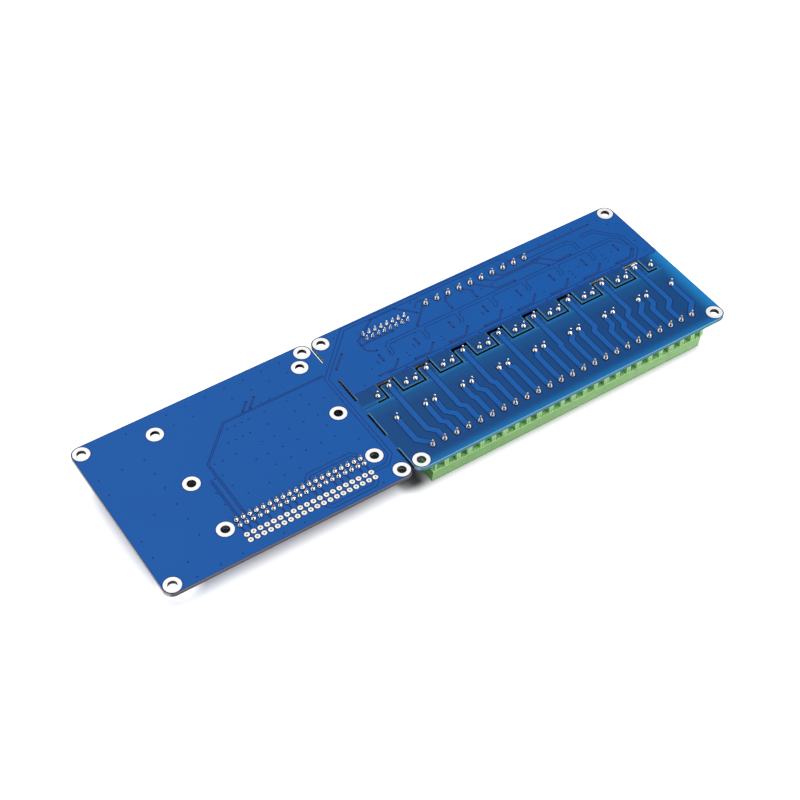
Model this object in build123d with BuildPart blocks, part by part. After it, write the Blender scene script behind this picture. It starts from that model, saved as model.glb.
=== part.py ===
import os
from math import atan2, degrees

from build123d import *

os.makedirs("parts", exist_ok=True)

# An eight-channel relay board with its computer carrier, as one panel.
# It lies component side down on its relays. Millimetres, +Z up, with the
# origin on the floor below the middle of the panel.

# Panel: two halves routed from one sheet and held together by three tabs
board_thickness = 1.6
carrier_hole_span = 87.5      # corner holes of the carrier half, along X
relay_hole_span = 130.0       # corner holes of the relay half, along X
hole_span_y = 65.0            # corner holes of both halves, along Y
corner_margin = 3.5           # hole centre to board edge, and the corner radius
mounting_hole_d = 3.4
land_d = 6.2
land_thickness = 0.08
land_sides = 10               # small repeated rounds are drawn with few sides
joint_slot_width = 1.0
joint_tabs = ((-20.4, 6.8), (-1.5, 7.0), (19.0, 9.8))   # centre along Y and width of each tab

# Hole pattern for the computer, inside the corner holes of the carrier half
computer_span_x = 58.0
computer_span_y = 49.0
middle_hole_y = 23.0          # middle pair above the lower pair
computer_right_margin = 4.4   # right pair to the right corner holes of the carrier half
computer_low_share = 0.64     # of the spare height, this much is below the lower pair

# Header pitch and the 2 x 20 rows
header_pitch = 2.54
spare_row_drop = 6.9          # spare 2 x 20 pads below the soldered header
spare_hole_d = 1.0
spare_hole_sides = 6
header_pin_side = 0.64

# Relays: sealed cubes with two coil pins, one common and two contact pins
relay_count = 8
relay_gap = 0.44              # between neighbouring cases
relay_length = 19.2
relay_height = 15.5
relay_edge_chamfer = 0.6
first_relay_x = 9.4           # first relay's middle from the left corner hole
last_relay_x = 9.72           # last relay's middle from the right corner hole, inwards
contact_row_share = 0.3115    # contact pins above the lower corner holes, as a share of the span
contact_margin = 1.7          # contact pin to the side of the case
coil_rise = 12.2              # coil pins above the contact pins
common_rise = 14.2            # common pin above the contact pins
relay_end_margin = 2.4        # contact pins to the end of the case

# Isolation slot that winds round each common pin
slot_width = 1.1
slot_half_span = 3.1          # slot's legs either side of the common pin
slot_low_drop = 2.5           # low run below the coil pins
slot_high_rise = 2.3          # middle of the high run above the common pin
slot_high_width = 1.7         # the high run is wider than the rest
slot_start = 1.8              # slot's left end from the left corner hole, inwards
slot_end = 2.3                # slot's right end from the right corner hole, inwards

# Screw terminals, moulded in threes on the relay side and in twos on the input side
poles_per_relay = 3
first_terminal_x = 7.0        # first pole from the left corner hole
last_terminal_x = 8.0         # last pole from the right corner hole, inwards
terminal_row_y = 3.5          # pole row above the lower corner holes
input_poles = 10
poles_per_input_block = 2
first_input_x = 43.4
input_row_drop = 3.4          # input row below the upper corner holes
terminal_height = 12.8
terminal_front = 4.35         # pole row to the wire face
terminal_back = 4.5           # pole row to the back face
terminal_gap = 0.04           # between neighbouring blocks
front_band = 5.7              # plain band between the screw face and the wire entries
band_lean = 0.6               # the band leans back by this much towards the screw face
entry_wall = 1.75             # between neighbouring wire entries
entry_shift = 0.6             # middle of a wire entry from its pole, towards the rail
entry_height = 5.7
entry_depth = 5.8
entry_fall = 1.4              # how far the entry's floor falls inwards
seam_width = 0.2              # groove down the middle of each wall between entries
seam_depth = 0.3
rail_reach = 0.7              # rail on a block's end, which fills the next block's rebate
rail_width = 1.2
rail_clearance = 0.06
back_chamfer = 1.6
screw_bore_d = 3.8
screw_bore_depth = 2.2
screw_head_d = 3.5
screw_head_height = 1.4
screw_sides = 8
clamp_clearance = 0.2
clamp_length = 2.6
clamp_height = 3.4

# Solder joints and the pin tips that stand in them
joint_foot_d = 1.8            # across the flats
joint_height = 1.4
joint_sides = 6
relay_tip_d = 0.75
relay_tip_height = 2.7
terminal_tip_d = 0.8
terminal_tip_height = 2.3
header_foot_side = 1.6
header_joint_height = 0.9
header_tip_height = 1.6
header_joint_sides = 4

# Wide traces from the relay contacts to the terminals
trace_width = 2.0
trace_thickness = 0.08
trace_gap = 0.05              # between a trace and the foot of a solder joint
# Where each trace turns, as a share of the way up from the terminals to the contacts:
# left contact, common, right contact
trace_bends = (
    (0.29, 0.42, 0.44),
    (0.60, 0.60, 0.63),
    (0.75, 0.76, 0.72),
    (0.91, 0.84, 0.90),
    (0.90, 0.84, 0.91),
    (0.87, 0.87, 0.72),
    (0.59, 0.88, 0.86),
    (0.75, 0.63, 0.29),
)

# Long socket for the computer's header, on the component side
socket_end_wall = 0.2         # beyond the last contacts' cells
socket_width = 5.1
socket_height = 8.5
socket_entry_side = 0.9
socket_entry_depth = 4.5

# Jumper header and its caps
jumper_columns = 8
jumper_center_x = 24.15       # from the left corner hole of the relay half
jumper_center_drop = 5.75     # below the upper corner holes
jumper_base_height = 2.5
jumper_pin_length = 6.0       # below the base
jumper_cap_height = 5.6
jumper_cap_gap = 0.1
jumper_cap_clearance = 0.2
jumper_cap_play = 0.1

# Surface-mounted parts, one set for each relay, in rows above the relays
coupler_width = 4.6
coupler_length = 6.5
coupler_height = 3.5
lead_width = 1.2
lead_thickness = 0.25
lead_reach = 1.8              # a lead's foot beyond the coupler's end
lead_rise = 1.9
lead_pitch = 2.54
diode_size = (4.3, 2.6, 2.1)
diode_gap = 1.45              # relays to the diodes
transistor_size = (2.9, 1.3, 1.1)
transistor_rise = 3.6         # above the diode row
led_size = (2.0, 1.25, 0.8)
led_rise = 3.2                # above the diode row
resistor_size = (2.0, 1.25, 0.5)
resistor_drop = 9.9           # below the upper corner holes
small_part_shift = 4.2        # lamps and resistors either side of the relay's middle

# Places worked out from the sizes above
board_bottom = relay_height
board_top = board_bottom + board_thickness
board_width = hole_span_y + 2 * corner_margin
carrier_length = carrier_hole_span + 2 * corner_margin
relay_half_length = relay_hole_span + 2 * corner_margin
panel_length = carrier_length + joint_slot_width + relay_half_length
carrier_left = -panel_length / 2
carrier_hole_x = carrier_left + corner_margin
relay_left = carrier_left + carrier_length + joint_slot_width
relay_hole_x = relay_left + corner_margin
joint_x = relay_left - joint_slot_width / 2
low_hole_y = -hole_span_y / 2
high_hole_y = hole_span_y / 2
carrier_mid_x = carrier_left + carrier_length / 2
relay_mid_x = relay_left + relay_half_length / 2

computer_left_x = (carrier_hole_x + carrier_hole_span
                   - computer_right_margin - computer_span_x)
computer_low_y = low_hole_y + computer_low_share * (hole_span_y - computer_span_y)
computer_mid_x = computer_left_x + computer_span_x / 2
header_columns = int((computer_span_x - land_d) // header_pitch)
socket_length = header_columns * header_pitch + 2 * socket_end_wall

relay_pitch = (relay_hole_span - first_relay_x - last_relay_x) / (relay_count - 1)
relay_width = relay_pitch - relay_gap
relay_xs = [relay_hole_x + first_relay_x + i * relay_pitch for i in range(relay_count)]
contact_half_span = relay_width / 2 - contact_margin
contact_y = low_hole_y + contact_row_share * hole_span_y
coil_y = contact_y + coil_rise
common_y = contact_y + common_rise
relay_low_y = contact_y - relay_end_margin
relay_mid_y = relay_low_y + relay_length / 2
relay_high_y = relay_low_y + relay_length

terminal_poles = relay_count * poles_per_relay
terminal_pitch = (relay_hole_span - first_terminal_x - last_terminal_x) / (terminal_poles - 1)
entry_width = terminal_pitch - entry_wall
terminal_x = relay_hole_x + first_terminal_x
terminal_y = low_hole_y + terminal_row_y
input_x = relay_hole_x + first_input_x
input_y = high_hole_y - input_row_drop
jumper_x = relay_hole_x + jumper_center_x
jumper_y = high_hole_y - jumper_center_drop

joint_edge = joint_foot_d / 2 + trace_gap
header_y = computer_low_y
spare_y = header_y - spare_row_drop

diode_y = relay_high_y + diode_gap + diode_size[1] / 2
coupler_y = (diode_y + diode_size[1] / 2 + jumper_y - header_pitch) / 2
resistor_y = high_hole_y - resistor_drop


def mounting_holes():
    """Centres of every screw hole in the panel."""
    corners = [(x, y) for y in (low_hole_y, high_hole_y)
               for x in (carrier_hole_x, carrier_hole_x + carrier_hole_span,
                         relay_hole_x, relay_hole_x + relay_hole_span)]
    rows = (computer_low_y, computer_low_y + middle_hole_y, computer_low_y + computer_span_y)
    computer = [(x, y) for y in rows
                for x in (computer_left_x, computer_left_x + computer_span_x)]
    return corners + computer


def isolation_route():
    """Middle line of the slot, round the common pin of every relay."""
    low_y = coil_y - slot_low_drop
    high_y = common_y + slot_high_rise
    route = [(relay_hole_x + slot_start, low_y)]
    for x in relay_xs:
        left = x - slot_half_span
        right = x + slot_half_span
        route += [(left, low_y), (left, high_y), (right, high_y), (right, low_y)]
    route.append((relay_hole_x + relay_hole_span - slot_end, low_y))
    return route


def joint_slots():
    """Low and high end of each slot between the halves, the outer two open to the edge."""
    tabs = sorted(joint_tabs)
    lows = [-board_width / 2 - joint_slot_width] + [y + width / 2 for y, width in tabs]
    highs = [y - width / 2 for y, width in tabs] + [board_width / 2 + joint_slot_width]
    return list(zip(lows, highs))


# Circuit board
with BuildPart() as circuit_board:
    with BuildSketch(Plane.XY.offset(board_bottom)):
        with Locations((carrier_mid_x, 0)):
            RectangleRounded(carrier_length, board_width, corner_margin)
        with Locations((relay_mid_x, 0)):
            RectangleRounded(relay_half_length, board_width, corner_margin)
        with Locations((joint_x, 0)):
            Rectangle(joint_slot_width + 2 * corner_margin, board_width - 2 * corner_margin)
        for low, high in joint_slots():
            with Locations((joint_x, (low + high) / 2)):
                SlotOverall(high - low, joint_slot_width, rotation=90, mode=Mode.SUBTRACT)
        with Locations(*mounting_holes()):
            Circle(mounting_hole_d / 2, mode=Mode.SUBTRACT)
        with Locations((computer_mid_x, spare_y)):
            with GridLocations(header_pitch, header_pitch, header_columns, 2):
                RegularPolygon(spare_hole_d / 2, spare_hole_sides, mode=Mode.SUBTRACT)
        with BuildLine():
            Polyline(*isolation_route())
        trace(line_width=slot_width, mode=Mode.SUBTRACT)
        with Locations(*[(x, common_y + slot_high_rise) for x in relay_xs]):
            Rectangle(2 * slot_half_span + slot_width, slot_high_width, mode=Mode.SUBTRACT)
    extrude(amount=board_thickness)
circuit_board.part.label = "circuit_board"
export_step(circuit_board.part, "parts/circuit_board.step")

# Tinned lands round the screw holes, on the solder side
with BuildPart() as hole_lands:
    with BuildSketch(Plane.XY.offset(board_top)):
        with Locations(*mounting_holes()):
            RegularPolygon(land_d / 2, land_sides)
            RegularPolygon(mounting_hole_d / 2, land_sides, major_radius=False,
                           mode=Mode.SUBTRACT)
    extrude(amount=land_thickness)
hole_lands.part.label = "hole_lands"
export_step(hole_lands.part, "parts/hole_lands.step")


def trace_route(pin_x, pin_y, pole_x, bend):
    """Down from the pin's joint, across at 45 degrees, then down to the terminal."""
    bend_y = terminal_y + bend * (contact_y - terminal_y)
    return [(pin_x, pin_y - joint_edge), (pin_x, bend_y),
            (pole_x, bend_y - abs(pole_x - pin_x)), (pole_x, terminal_y)]


def relay_pins(x):
    """Pins of the relay at x: left contact, common, right contact, then the two coil pins."""
    return [(x - contact_half_span, contact_y), (x, common_y), (x + contact_half_span, contact_y),
            (x - contact_half_span, coil_y), (x + contact_half_span, coil_y)]


def row(first_x, y, count, pitch):
    """Centres of a row along X."""
    return [(first_x + n * pitch, y) for n in range(count)]


relay_joint_spots = [spot for x in relay_xs for spot in relay_pins(x)]
terminal_spots = row(terminal_x, terminal_y, terminal_poles, terminal_pitch)
input_spots = row(input_x, input_y, input_poles, terminal_pitch)

# Wide traces on the solder side, from each relay's contacts to its three terminals
with BuildPart() as power_traces:
    with BuildSketch(Plane.XY.offset(board_top)):
        for i, (x, bends) in enumerate(zip(relay_xs, trace_bends)):
            poles = terminal_spots[i * poles_per_relay:(i + 1) * poles_per_relay]
            with BuildLine():
                for (pin_x, pin_y), (pole_x, _), bend in zip(relay_pins(x), poles, bends):
                    Polyline(*trace_route(pin_x, pin_y, pole_x, bend))
            trace(line_width=trace_width)
        with Locations((relay_mid_x, terminal_y)):
            Rectangle(relay_hole_span, 2 * joint_edge, mode=Mode.SUBTRACT)
    extrude(amount=trace_thickness)
power_traces.part.label = "power_traces"
export_step(power_traces.part, "parts/power_traces.step")


def place(piece, name, spots, height=0.0, turn=0.0):
    """Write one node that holds a copy of the piece at each spot."""
    with BuildPart() as placed:
        with Locations(*[Location((x, y, height), (0, 0, turn)) for x, y in spots]):
            add(piece.part)
    placed.part.label = name
    export_step(placed.part, f"parts/{name}.step")


# Relays: sealed cases that sit on the component side
with BuildPart() as relay_case:
    with BuildSketch():
        Rectangle(relay_width, relay_length)
    extrude(amount=relay_height)
    chamfer(relay_case.edges().filter_by(Axis.Z), relay_edge_chamfer)
    chamfer(relay_case.faces().sort_by(Axis.Z)[0].edges(), relay_edge_chamfer / 2)
for i, x in enumerate(relay_xs):
    place(relay_case, f"relay_{i + 1}", [(x, relay_mid_y)])


def screw_terminals(name, first_x, y, poles, block_poles, turn):
    """Blocks, clamps and screws of one row; unturned, the wire entries face -Y."""
    bottom = board_bottom - terminal_height
    ledge = bottom + front_band
    entry_top = ledge + entry_height
    entry_back = entry_depth - terminal_front
    block_length = block_poles * terminal_pitch - terminal_gap
    block_end = block_length / 2
    pole_xs = [(n - (block_poles - 1) / 2) * terminal_pitch for n in range(block_poles)]
    entry_xs = [x + entry_shift for x in pole_xs]
    seam_xs = [x + terminal_pitch / 2 for x in entry_xs[:-1]]

    with BuildPart() as block:
        with BuildSketch(Plane.YZ.offset(-block_end)):
            Polygon((band_lean - terminal_front, bottom), (-terminal_front, ledge),
                    (-terminal_front, board_bottom), (terminal_back, board_bottom),
                    (terminal_back, bottom + back_chamfer),
                    (terminal_back - back_chamfer, bottom), align=None)
        extrude(amount=block_length)
        with BuildSketch(*[Plane.YZ.offset(x - entry_width / 2) for x in entry_xs]):
            Polygon((-terminal_front, ledge), (-terminal_front, entry_top),
                    (entry_back, entry_top), (entry_back, ledge - entry_fall), align=None)
        extrude(amount=entry_width, mode=Mode.SUBTRACT)
        with BuildSketch(Plane.XY.offset(ledge)):
            with Locations(*[(x, -terminal_front) for x in seam_xs]):
                Rectangle(seam_width, 2 * seam_depth)
            with Locations((-block_end, -terminal_front)):
                Rectangle(2 * (rail_reach + rail_clearance), 2 * (rail_width + rail_clearance))
        extrude(amount=board_bottom - ledge, mode=Mode.SUBTRACT)
        with BuildSketch(Plane.XY.offset(board_bottom)):
            with Locations((block_end, rail_width / 2 - terminal_front)):
                Rectangle(2 * rail_reach, rail_width)
        extrude(amount=ledge + rail_clearance - board_bottom)
        with BuildSketch(Plane.XY.offset(bottom)):
            with Locations(*[(x, 0) for x in pole_xs]):
                RegularPolygon(screw_bore_d / 2, screw_sides)
        extrude(amount=screw_bore_depth, mode=Mode.SUBTRACT)

    with BuildPart() as clamp:
        with BuildSketch(Plane.XY.offset(entry_top)):
            with Locations((entry_shift, entry_back - clamp_length / 2)):
                Rectangle(entry_width - 2 * clamp_clearance, clamp_length)
        extrude(amount=-clamp_height)

    with BuildPart() as screw:
        with BuildSketch(Plane.XY.offset(bottom + screw_bore_depth)):
            RegularPolygon(screw_head_d / 2, screw_sides)
        extrude(amount=-screw_head_height)

    pole_spots = row(first_x, y, poles, terminal_pitch)
    block_pitch = block_poles * terminal_pitch
    first_block_x = first_x + (block_poles - 1) / 2 * terminal_pitch
    place(block, f"{name}_blocks", row(first_block_x, y, poles // block_poles, block_pitch),
          turn=turn)
    place(clamp, f"{name}_clamps", pole_spots, turn=turn)
    place(screw, f"{name}_screws", pole_spots)


screw_terminals("relay_terminal", terminal_x, terminal_y, terminal_poles, poles_per_relay, 0)
screw_terminals("input_terminal", input_x, input_y, input_poles, poles_per_input_block, 180)


def tapered_joint(foot_side, joint_height, tip_side, tip_height, sides):
    """Solder cone that narrows to the tip of its pin; a side is measured across the flats."""
    taper = degrees(atan2((foot_side - tip_side) / 2, joint_height))
    with BuildPart() as joint:
        with BuildSketch():
            RegularPolygon(foot_side / 2, sides, major_radius=False)
        extrude(amount=joint_height, taper=taper)
        extrude(joint.faces().sort_by(Axis.Z)[-1], amount=tip_height - joint_height)
    return joint


relay_joint = tapered_joint(joint_foot_d, joint_height, relay_tip_d, relay_tip_height,
                            joint_sides)
terminal_joint = tapered_joint(joint_foot_d, joint_height, terminal_tip_d,
                               terminal_tip_height, joint_sides)
header_joint = tapered_joint(header_foot_side, header_joint_height, header_pin_side,
                             header_tip_height, header_joint_sides)
place(relay_joint, "relay_pin_joints", relay_joint_spots, board_top)
place(terminal_joint, "terminal_pin_joints", terminal_spots, board_top)
place(terminal_joint, "input_pin_joints", input_spots, board_top)


def two_rows(center_x, center_y, columns):
    """Centres of a two-row header."""
    left_x = center_x - (columns - 1) / 2 * header_pitch
    return (row(left_x, center_y - header_pitch / 2, columns, header_pitch)
            + row(left_x, center_y + header_pitch / 2, columns, header_pitch))


place(header_joint, "socket_pin_joints",
      two_rows(computer_mid_x, header_y, header_columns), board_top)
place(header_joint, "jumper_pin_joints",
      two_rows(jumper_x, jumper_y, jumper_columns), board_top)

# Socket under the carrier half: a housing with a square well for each contact
with BuildPart() as socket_housing:
    with BuildSketch(Plane.XY.offset(board_bottom)):
        with Locations((computer_mid_x, header_y)):
            Rectangle(socket_length, socket_width)
            with GridLocations(header_pitch, header_pitch, header_columns, 2):
                Rectangle(socket_entry_side, socket_entry_side, mode=Mode.SUBTRACT)
    extrude(amount=-socket_height)
socket_housing.part.label = "socket_housing"
export_step(socket_housing.part, "parts/socket_housing.step")

with BuildPart() as socket_contacts:
    with BuildSketch(Plane.XY.offset(board_bottom)):
        with Locations((computer_mid_x, header_y)):
            with GridLocations(header_pitch, header_pitch, header_columns, 2):
                Rectangle(socket_entry_side, socket_entry_side)
    extrude(amount=socket_entry_depth - socket_height)
socket_contacts.part.label = "socket_contacts"
export_step(socket_contacts.part, "parts/socket_contacts.step")

# Jumper header: base, square pins and a cap over each pair
with BuildPart() as jumper_base:
    with BuildSketch(Plane.XY.offset(board_bottom)):
        with Locations((jumper_x, jumper_y)):
            Rectangle(jumper_columns * header_pitch, 2 * header_pitch)
    extrude(amount=-jumper_base_height)
jumper_base.part.label = "jumper_base"
export_step(jumper_base.part, "parts/jumper_base.step")

with BuildPart() as jumper_pins:
    with BuildSketch(Plane.XY.offset(board_bottom - jumper_base_height)):
        with Locations((jumper_x, jumper_y)):
            with GridLocations(header_pitch, header_pitch, jumper_columns, 2):
                Rectangle(header_pin_side, header_pin_side)
    extrude(amount=-jumper_pin_length)
jumper_pins.part.label = "jumper_pins"
export_step(jumper_pins.part, "parts/jumper_pins.step")

with BuildPart() as jumper_cap:
    with BuildSketch():
        Rectangle(header_pitch - jumper_cap_clearance, 2 * header_pitch - jumper_cap_clearance)
        Rectangle(header_pin_side + 2 * jumper_cap_play,
                  header_pitch + header_pin_side + 2 * jumper_cap_play, mode=Mode.SUBTRACT)
    extrude(amount=-jumper_cap_height)
place(jumper_cap, "jumper_caps", row(jumper_x - (jumper_columns - 1) / 2 * header_pitch,
                                     jumper_y, jumper_columns, header_pitch),
      board_bottom - jumper_base_height - jumper_cap_gap)


def chips(name, size, y, shift=0.0):
    """One small block for each relay, shifted along X from the relay's middle."""
    length, width, height = size
    with BuildPart() as chip:
        with BuildSketch():
            Rectangle(length, width)
        extrude(amount=-height)
    place(chip, name, row(relay_xs[0] + shift, y, relay_count, relay_pitch), board_bottom)


# Optical couplers: a block on four bent leads
coupler_spots = row(relay_xs[0], coupler_y, relay_count, relay_pitch)
with BuildPart() as coupler:
    with BuildSketch(Plane.XY.offset(-lead_thickness)):
        Rectangle(coupler_width, coupler_length)
    extrude(amount=-coupler_height)
place(coupler, "couplers", coupler_spots, board_bottom)

with BuildPart() as coupler_leads:
    side_y = coupler_length / 2
    with BuildSketch(Plane.YZ.offset(lead_pitch / 2 - lead_width / 2)):
        Polygon((side_y, 0), (side_y + lead_reach, 0), (side_y + lead_reach, -lead_thickness),
                (side_y + lead_thickness, -lead_thickness), (side_y + lead_thickness, -lead_rise),
                (side_y, -lead_rise), align=None)
    extrude(amount=lead_width)
    mirror(about=Plane.YZ)
    mirror(about=Plane.XZ)
place(coupler_leads, "coupler_leads", coupler_spots, board_bottom)

chips("transistors", transistor_size, diode_y + transistor_rise, -small_part_shift)
chips("flyback_diodes", diode_size, diode_y)
chips("status_lamps", led_size, diode_y + led_rise, small_part_shift)
chips("input_resistors", resistor_size, resistor_y, -small_part_shift)
chips("lamp_resistors", resistor_size, resistor_y, small_part_shift)
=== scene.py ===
import math
import random

import bmesh
import bpy
from mathutils import Matrix, Vector


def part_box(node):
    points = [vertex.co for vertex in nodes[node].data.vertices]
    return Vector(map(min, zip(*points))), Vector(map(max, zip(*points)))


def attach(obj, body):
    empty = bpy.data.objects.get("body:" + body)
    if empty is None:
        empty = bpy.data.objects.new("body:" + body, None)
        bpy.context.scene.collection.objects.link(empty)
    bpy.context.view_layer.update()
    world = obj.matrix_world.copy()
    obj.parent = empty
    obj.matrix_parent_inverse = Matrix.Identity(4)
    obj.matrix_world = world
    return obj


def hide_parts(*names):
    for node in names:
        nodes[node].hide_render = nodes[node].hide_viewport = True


# Looks of the relay module board. Lengths in the settings are millimetres unless a name
# says otherwise; everything is built in metres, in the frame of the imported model.

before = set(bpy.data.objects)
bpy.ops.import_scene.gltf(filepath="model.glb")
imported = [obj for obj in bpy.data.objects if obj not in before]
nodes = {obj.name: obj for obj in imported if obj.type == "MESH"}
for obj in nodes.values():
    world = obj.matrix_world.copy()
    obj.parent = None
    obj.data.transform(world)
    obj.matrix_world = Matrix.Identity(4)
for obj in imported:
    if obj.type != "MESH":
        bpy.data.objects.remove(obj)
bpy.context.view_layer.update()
scene = bpy.context.scene
mm = 0.001
random.seed(7)
print("frame loaded")

panel = {
    "top": 17.1,             # solder side
    "bottom": 15.5,          # component side
    "jointX": -21.25,        # slot between the two halves
    "pourEdgeY": 5.05,       # bare laminate below this line on the relay half
    "datum": (-87.65, -22.25),   # lower left computer hole: traces are measured from it
}


# linear colour of a picture value from 0 to 255
def shown(red, green, blue):
    return tuple(c / 12.92 if c <= 0.04045 else ((c + 0.055) / 1.055) ** 2.4
                 for c in (red / 255, green / 255, blue / 255)) + (1.0,)


# short ways to make shader nodes

# put a number, a colour or another node's output into a socket
def feed(tree, socket, value):
    if isinstance(value, bpy.types.NodeSocket):
        tree.links.new(value, socket)
    else:
        socket.default_value = value


def mathNode(tree, operation, *operands):
    node = tree.nodes.new("ShaderNodeMath")
    node.operation = operation
    for socket, value in zip(node.inputs, operands):
        feed(tree, socket, value)
    return node.outputs["Value"]


# one value from many, by the same operation again and again
def combine(tree, operation, values):
    result = values[0]
    for value in values[1:]:
        result = mathNode(tree, operation, result, value)
    return result


def rampNode(tree, value, low, high, lowOut=0.0, highOut=1.0):
    node = tree.nodes.new("ShaderNodeMapRange")
    node.interpolation_type = "SMOOTHSTEP"
    for label, number in (("Value", value), ("From Min", low), ("From Max", high),
                          ("To Min", lowOut), ("To Max", highOut)):
        feed(tree, node.inputs[label], number)
    return node.outputs["Result"]


# a Mix node has its own sockets for each kind of value: two to mix, and the result
mixSockets = {"FLOAT": (2, 3, 0), "RGBA": (6, 7, 2)}


def mixNode(tree, kind, factor, *values):
    node = tree.nodes.new("ShaderNodeMix")
    node.data_type = kind
    feed(tree, node.inputs["Factor"], factor)
    for socket, value in zip(mixSockets[kind], values):
        feed(tree, node.inputs[socket], value)
    return node.outputs[mixSockets[kind][2]]


def mixNumber(tree, factor, first, second):
    return mixNode(tree, "FLOAT", factor, first, second)


def mixColour(tree, factor, first, second):
    return mixNode(tree, "RGBA", factor, first, second)


# X, Y and Z of a vector
def partsOf(tree, vector):
    split = tree.nodes.new("ShaderNodeSeparateXYZ")
    tree.links.new(vector, split.inputs[0])
    return [split.outputs[axis] for axis in "XYZ"]


# camera, light and floor

view = {
    "azimuth": -33.959, "elevation": 47.772, "roll": 0.658,   # degrees
    "distance": 590.1, "target": (-8.31, -5.77, 17.1), "lens": 75.86, "sensor": 36,
    "nearest": 10,           # nothing nearer to the camera is drawn
}


# unit vector towards an azimuth and elevation in degrees; azimuth 0 is on the near side
def wayTo(azimuth, elevation):
    azimuth, elevation = math.radians(azimuth), math.radians(elevation)
    return Vector((math.sin(azimuth) * math.cos(elevation),
                   -math.cos(azimuth) * math.cos(elevation), math.sin(elevation)))


def addCamera():
    roll = math.radians(view["roll"])
    back = wayTo(view["azimuth"], view["elevation"])
    level = wayTo(view["azimuth"] + 90, 0)
    upright = back.cross(level)
    right = level * math.cos(roll) + upright * math.sin(roll)
    up = upright * math.cos(roll) - level * math.sin(roll)
    camera = bpy.data.objects.new("camera", bpy.data.cameras.new("camera"))
    scene.collection.objects.link(camera)
    turn = Matrix((right, up, back)).transposed().to_4x4()
    place = Vector(view["target"]) * mm + back * view["distance"] * mm
    camera.matrix_world = Matrix.Translation(place) @ turn
    camera.data.lens = view["lens"]
    camera.data.sensor_width = view["sensor"]
    camera.data.clip_start = view["nearest"] * mm
    scene.camera = camera


studio = {
    "sky": 0.62,                            # world strength all round
    "mirrorSky": 1.10, "mirrorFront": 0.03,  # the same as metal sees it, and near the camera
    "mirrorTurn": (0.44, 0.72),             # cosines between which the one becomes the other
    # each sun: strength, spread, then the azimuth and elevation it shines from, in degrees
    "backSun": (0.65, 30, 165, 58), "fillSun": (1.2, 24, 22, 28),
    "floorReach": 6000, "floorGrey": 0.88, "floorLift": 0.8,
    # boxes of painted shadow on the floor: left, right, low and high side, and the blur at each
    # side
    "carrierShade": (-112.5, -9.0, -28.7, 30.0, 4.5),
    "relayShade": (-20.0, 110.0, -31.8, 31.0, 3.6),
    "deepShade": (-107.0, 106.0, -20.0, 28.0, 5.0),
    "cornerShade": (-22.6, -13.5, -30.2, -18.0, 2.0),
    "deepGrey": 0.14, "cornerGrey": 0.13,   # painted shadow: how much of the floor's grey is left there
    "openCorner": (-106.4, -22.0, 0.0), "openReach": (3.5, 9.5),   # light comes in at this corner: the painted shadow is cut away round it
}


def addStudio():
    world = bpy.data.worlds.new("studio")
    scene.world = world
    world.use_nodes = True
    tree = world.node_tree
    tree.nodes.clear()
    link = tree.links.new
    output = tree.nodes.new("ShaderNodeOutputWorld")
    backdrop = tree.nodes.new("ShaderNodeBackground")
    backdrop.inputs["Color"].default_value = (1, 1, 1, 1)
    sky = tree.nodes.new("ShaderNodeBackground")
    direction = tree.nodes.new("ShaderNodeTexCoord")
    towards = tree.nodes.new("ShaderNodeVectorMath")
    towards.operation = "DOT_PRODUCT"
    towards.inputs[1].default_value = wayTo(view["azimuth"], 0)
    link(direction.outputs["Generated"], towards.inputs[0])
    rays = tree.nodes.new("ShaderNodeLightPath")
    mirror = rampNode(tree, towards.outputs["Value"], *studio["mirrorTurn"],
                      studio["mirrorSky"], studio["mirrorFront"])
    link(mixNumber(tree, rays.outputs["Is Glossy Ray"], studio["sky"], mirror),
         sky.inputs["Strength"])
    seen = mathNode(tree, "MAXIMUM", rays.outputs["Is Camera Ray"],
                    rays.outputs["Is Transmission Ray"])
    mix = tree.nodes.new("ShaderNodeMixShader")
    link(seen, mix.inputs["Fac"])
    link(sky.outputs["Background"], mix.inputs[1])
    link(backdrop.outputs["Background"], mix.inputs[2])
    link(mix.outputs["Shader"], output.inputs["Surface"])

    for name in ("backSun", "fillSun"):
        strength, spread, azimuth, elevation = studio[name]
        sun = bpy.data.objects.new(name, bpy.data.lights.new(name, "SUN"))
        sun.data.energy = strength
        sun.data.angle = math.radians(spread)
        sun.matrix_world = wayTo(azimuth, elevation).to_track_quat("Z", "Y").to_matrix().to_4x4()
        scene.collection.objects.link(sun)


# 1 inside the box and 0 outside, with soft sides
def boxMask(tree, x, y, left, right, low, high, blur):
    return combine(tree, "MULTIPLY", [
        rampNode(tree, value, (side - blur) * mm, (side + blur) * mm, *ends)
        for value, side, ends in ((x, left, (0, 1)), (x, right, (1, 0)),
                                  (y, low, (0, 1)), (y, high, (1, 0)))])


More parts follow.
